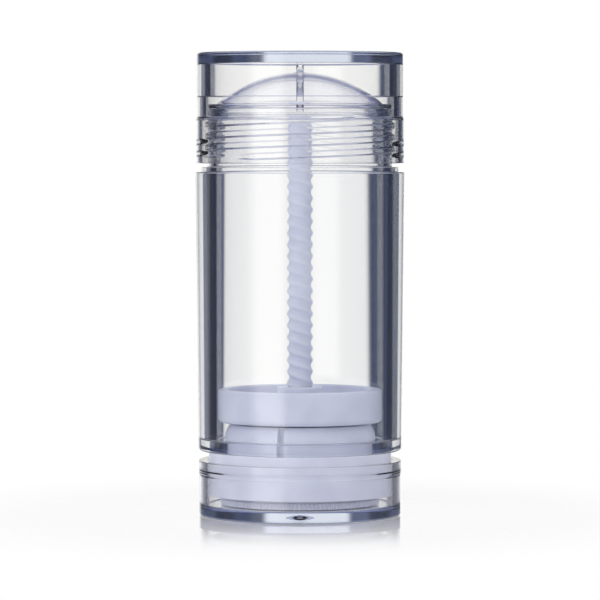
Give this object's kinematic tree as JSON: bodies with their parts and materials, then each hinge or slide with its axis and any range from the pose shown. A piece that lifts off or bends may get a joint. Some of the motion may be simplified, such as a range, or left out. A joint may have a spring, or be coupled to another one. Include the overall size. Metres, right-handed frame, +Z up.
{
  "type": "deodorant stick container",
  "caption": "Round clear twist-up stick container with a screw cap, a domed seal and a platform raised by a spindle in its turning base.",
  "frame": {"origin": "centre of the container's foot, on the surface that it stands on", "axes": "+Z up along the container's axis, from the base to the cap"},
  "size_m": [0.05, 0.05, 0.1107],
  "materials": {
    "clear_plastic": "clear, polished, with a faint cool tint",
    "white_plastic": "smooth moulded white, slightly translucent"
  },
  "bodies": {
    "tube": {"body_tube": "clear_plastic"},
    "base": {"base_cup": "clear_plastic", "base_insert": "white_plastic", "spindle": "white_plastic"},
    "platform": {"platform": "white_plastic"},
    "seal": {"dome_seal": "clear_plastic"},
    "cap": {"cap": "clear_plastic"}
  },
  "joints": [
    {"name": "base_turn", "type": "hinge", "parent": "tube", "child": "base", "pos_m": [0, 0, 0.014], "axis": [0, 0, 1], "range_deg": [0, 4140]},
    {"name": "platform_lift", "type": "slide", "parent": "tube", "child": "platform", "axis": [0, 0, 1], "range_m": [0, 0.0636]},
    {"name": "cap_turn", "type": "hinge", "parent": "tube", "child": "seal", "pos_m": [0, 0, 0.0978], "axis": [0, 0, 1], "range_deg": [0, 1620]},
    {"name": "cap_rise", "type": "slide", "parent": "seal", "child": "cap", "axis": [0, 0, 1], "range_m": [0, 0.0249]}
  ],
  "couplings": [
    {"joint": "platform_lift", "follows": "base_turn", "m_per_rad": 0.00087854},
    {"joint": "cap_rise", "follows": "cap_turn", "m_per_rad": 0.00087854}
  ]
}
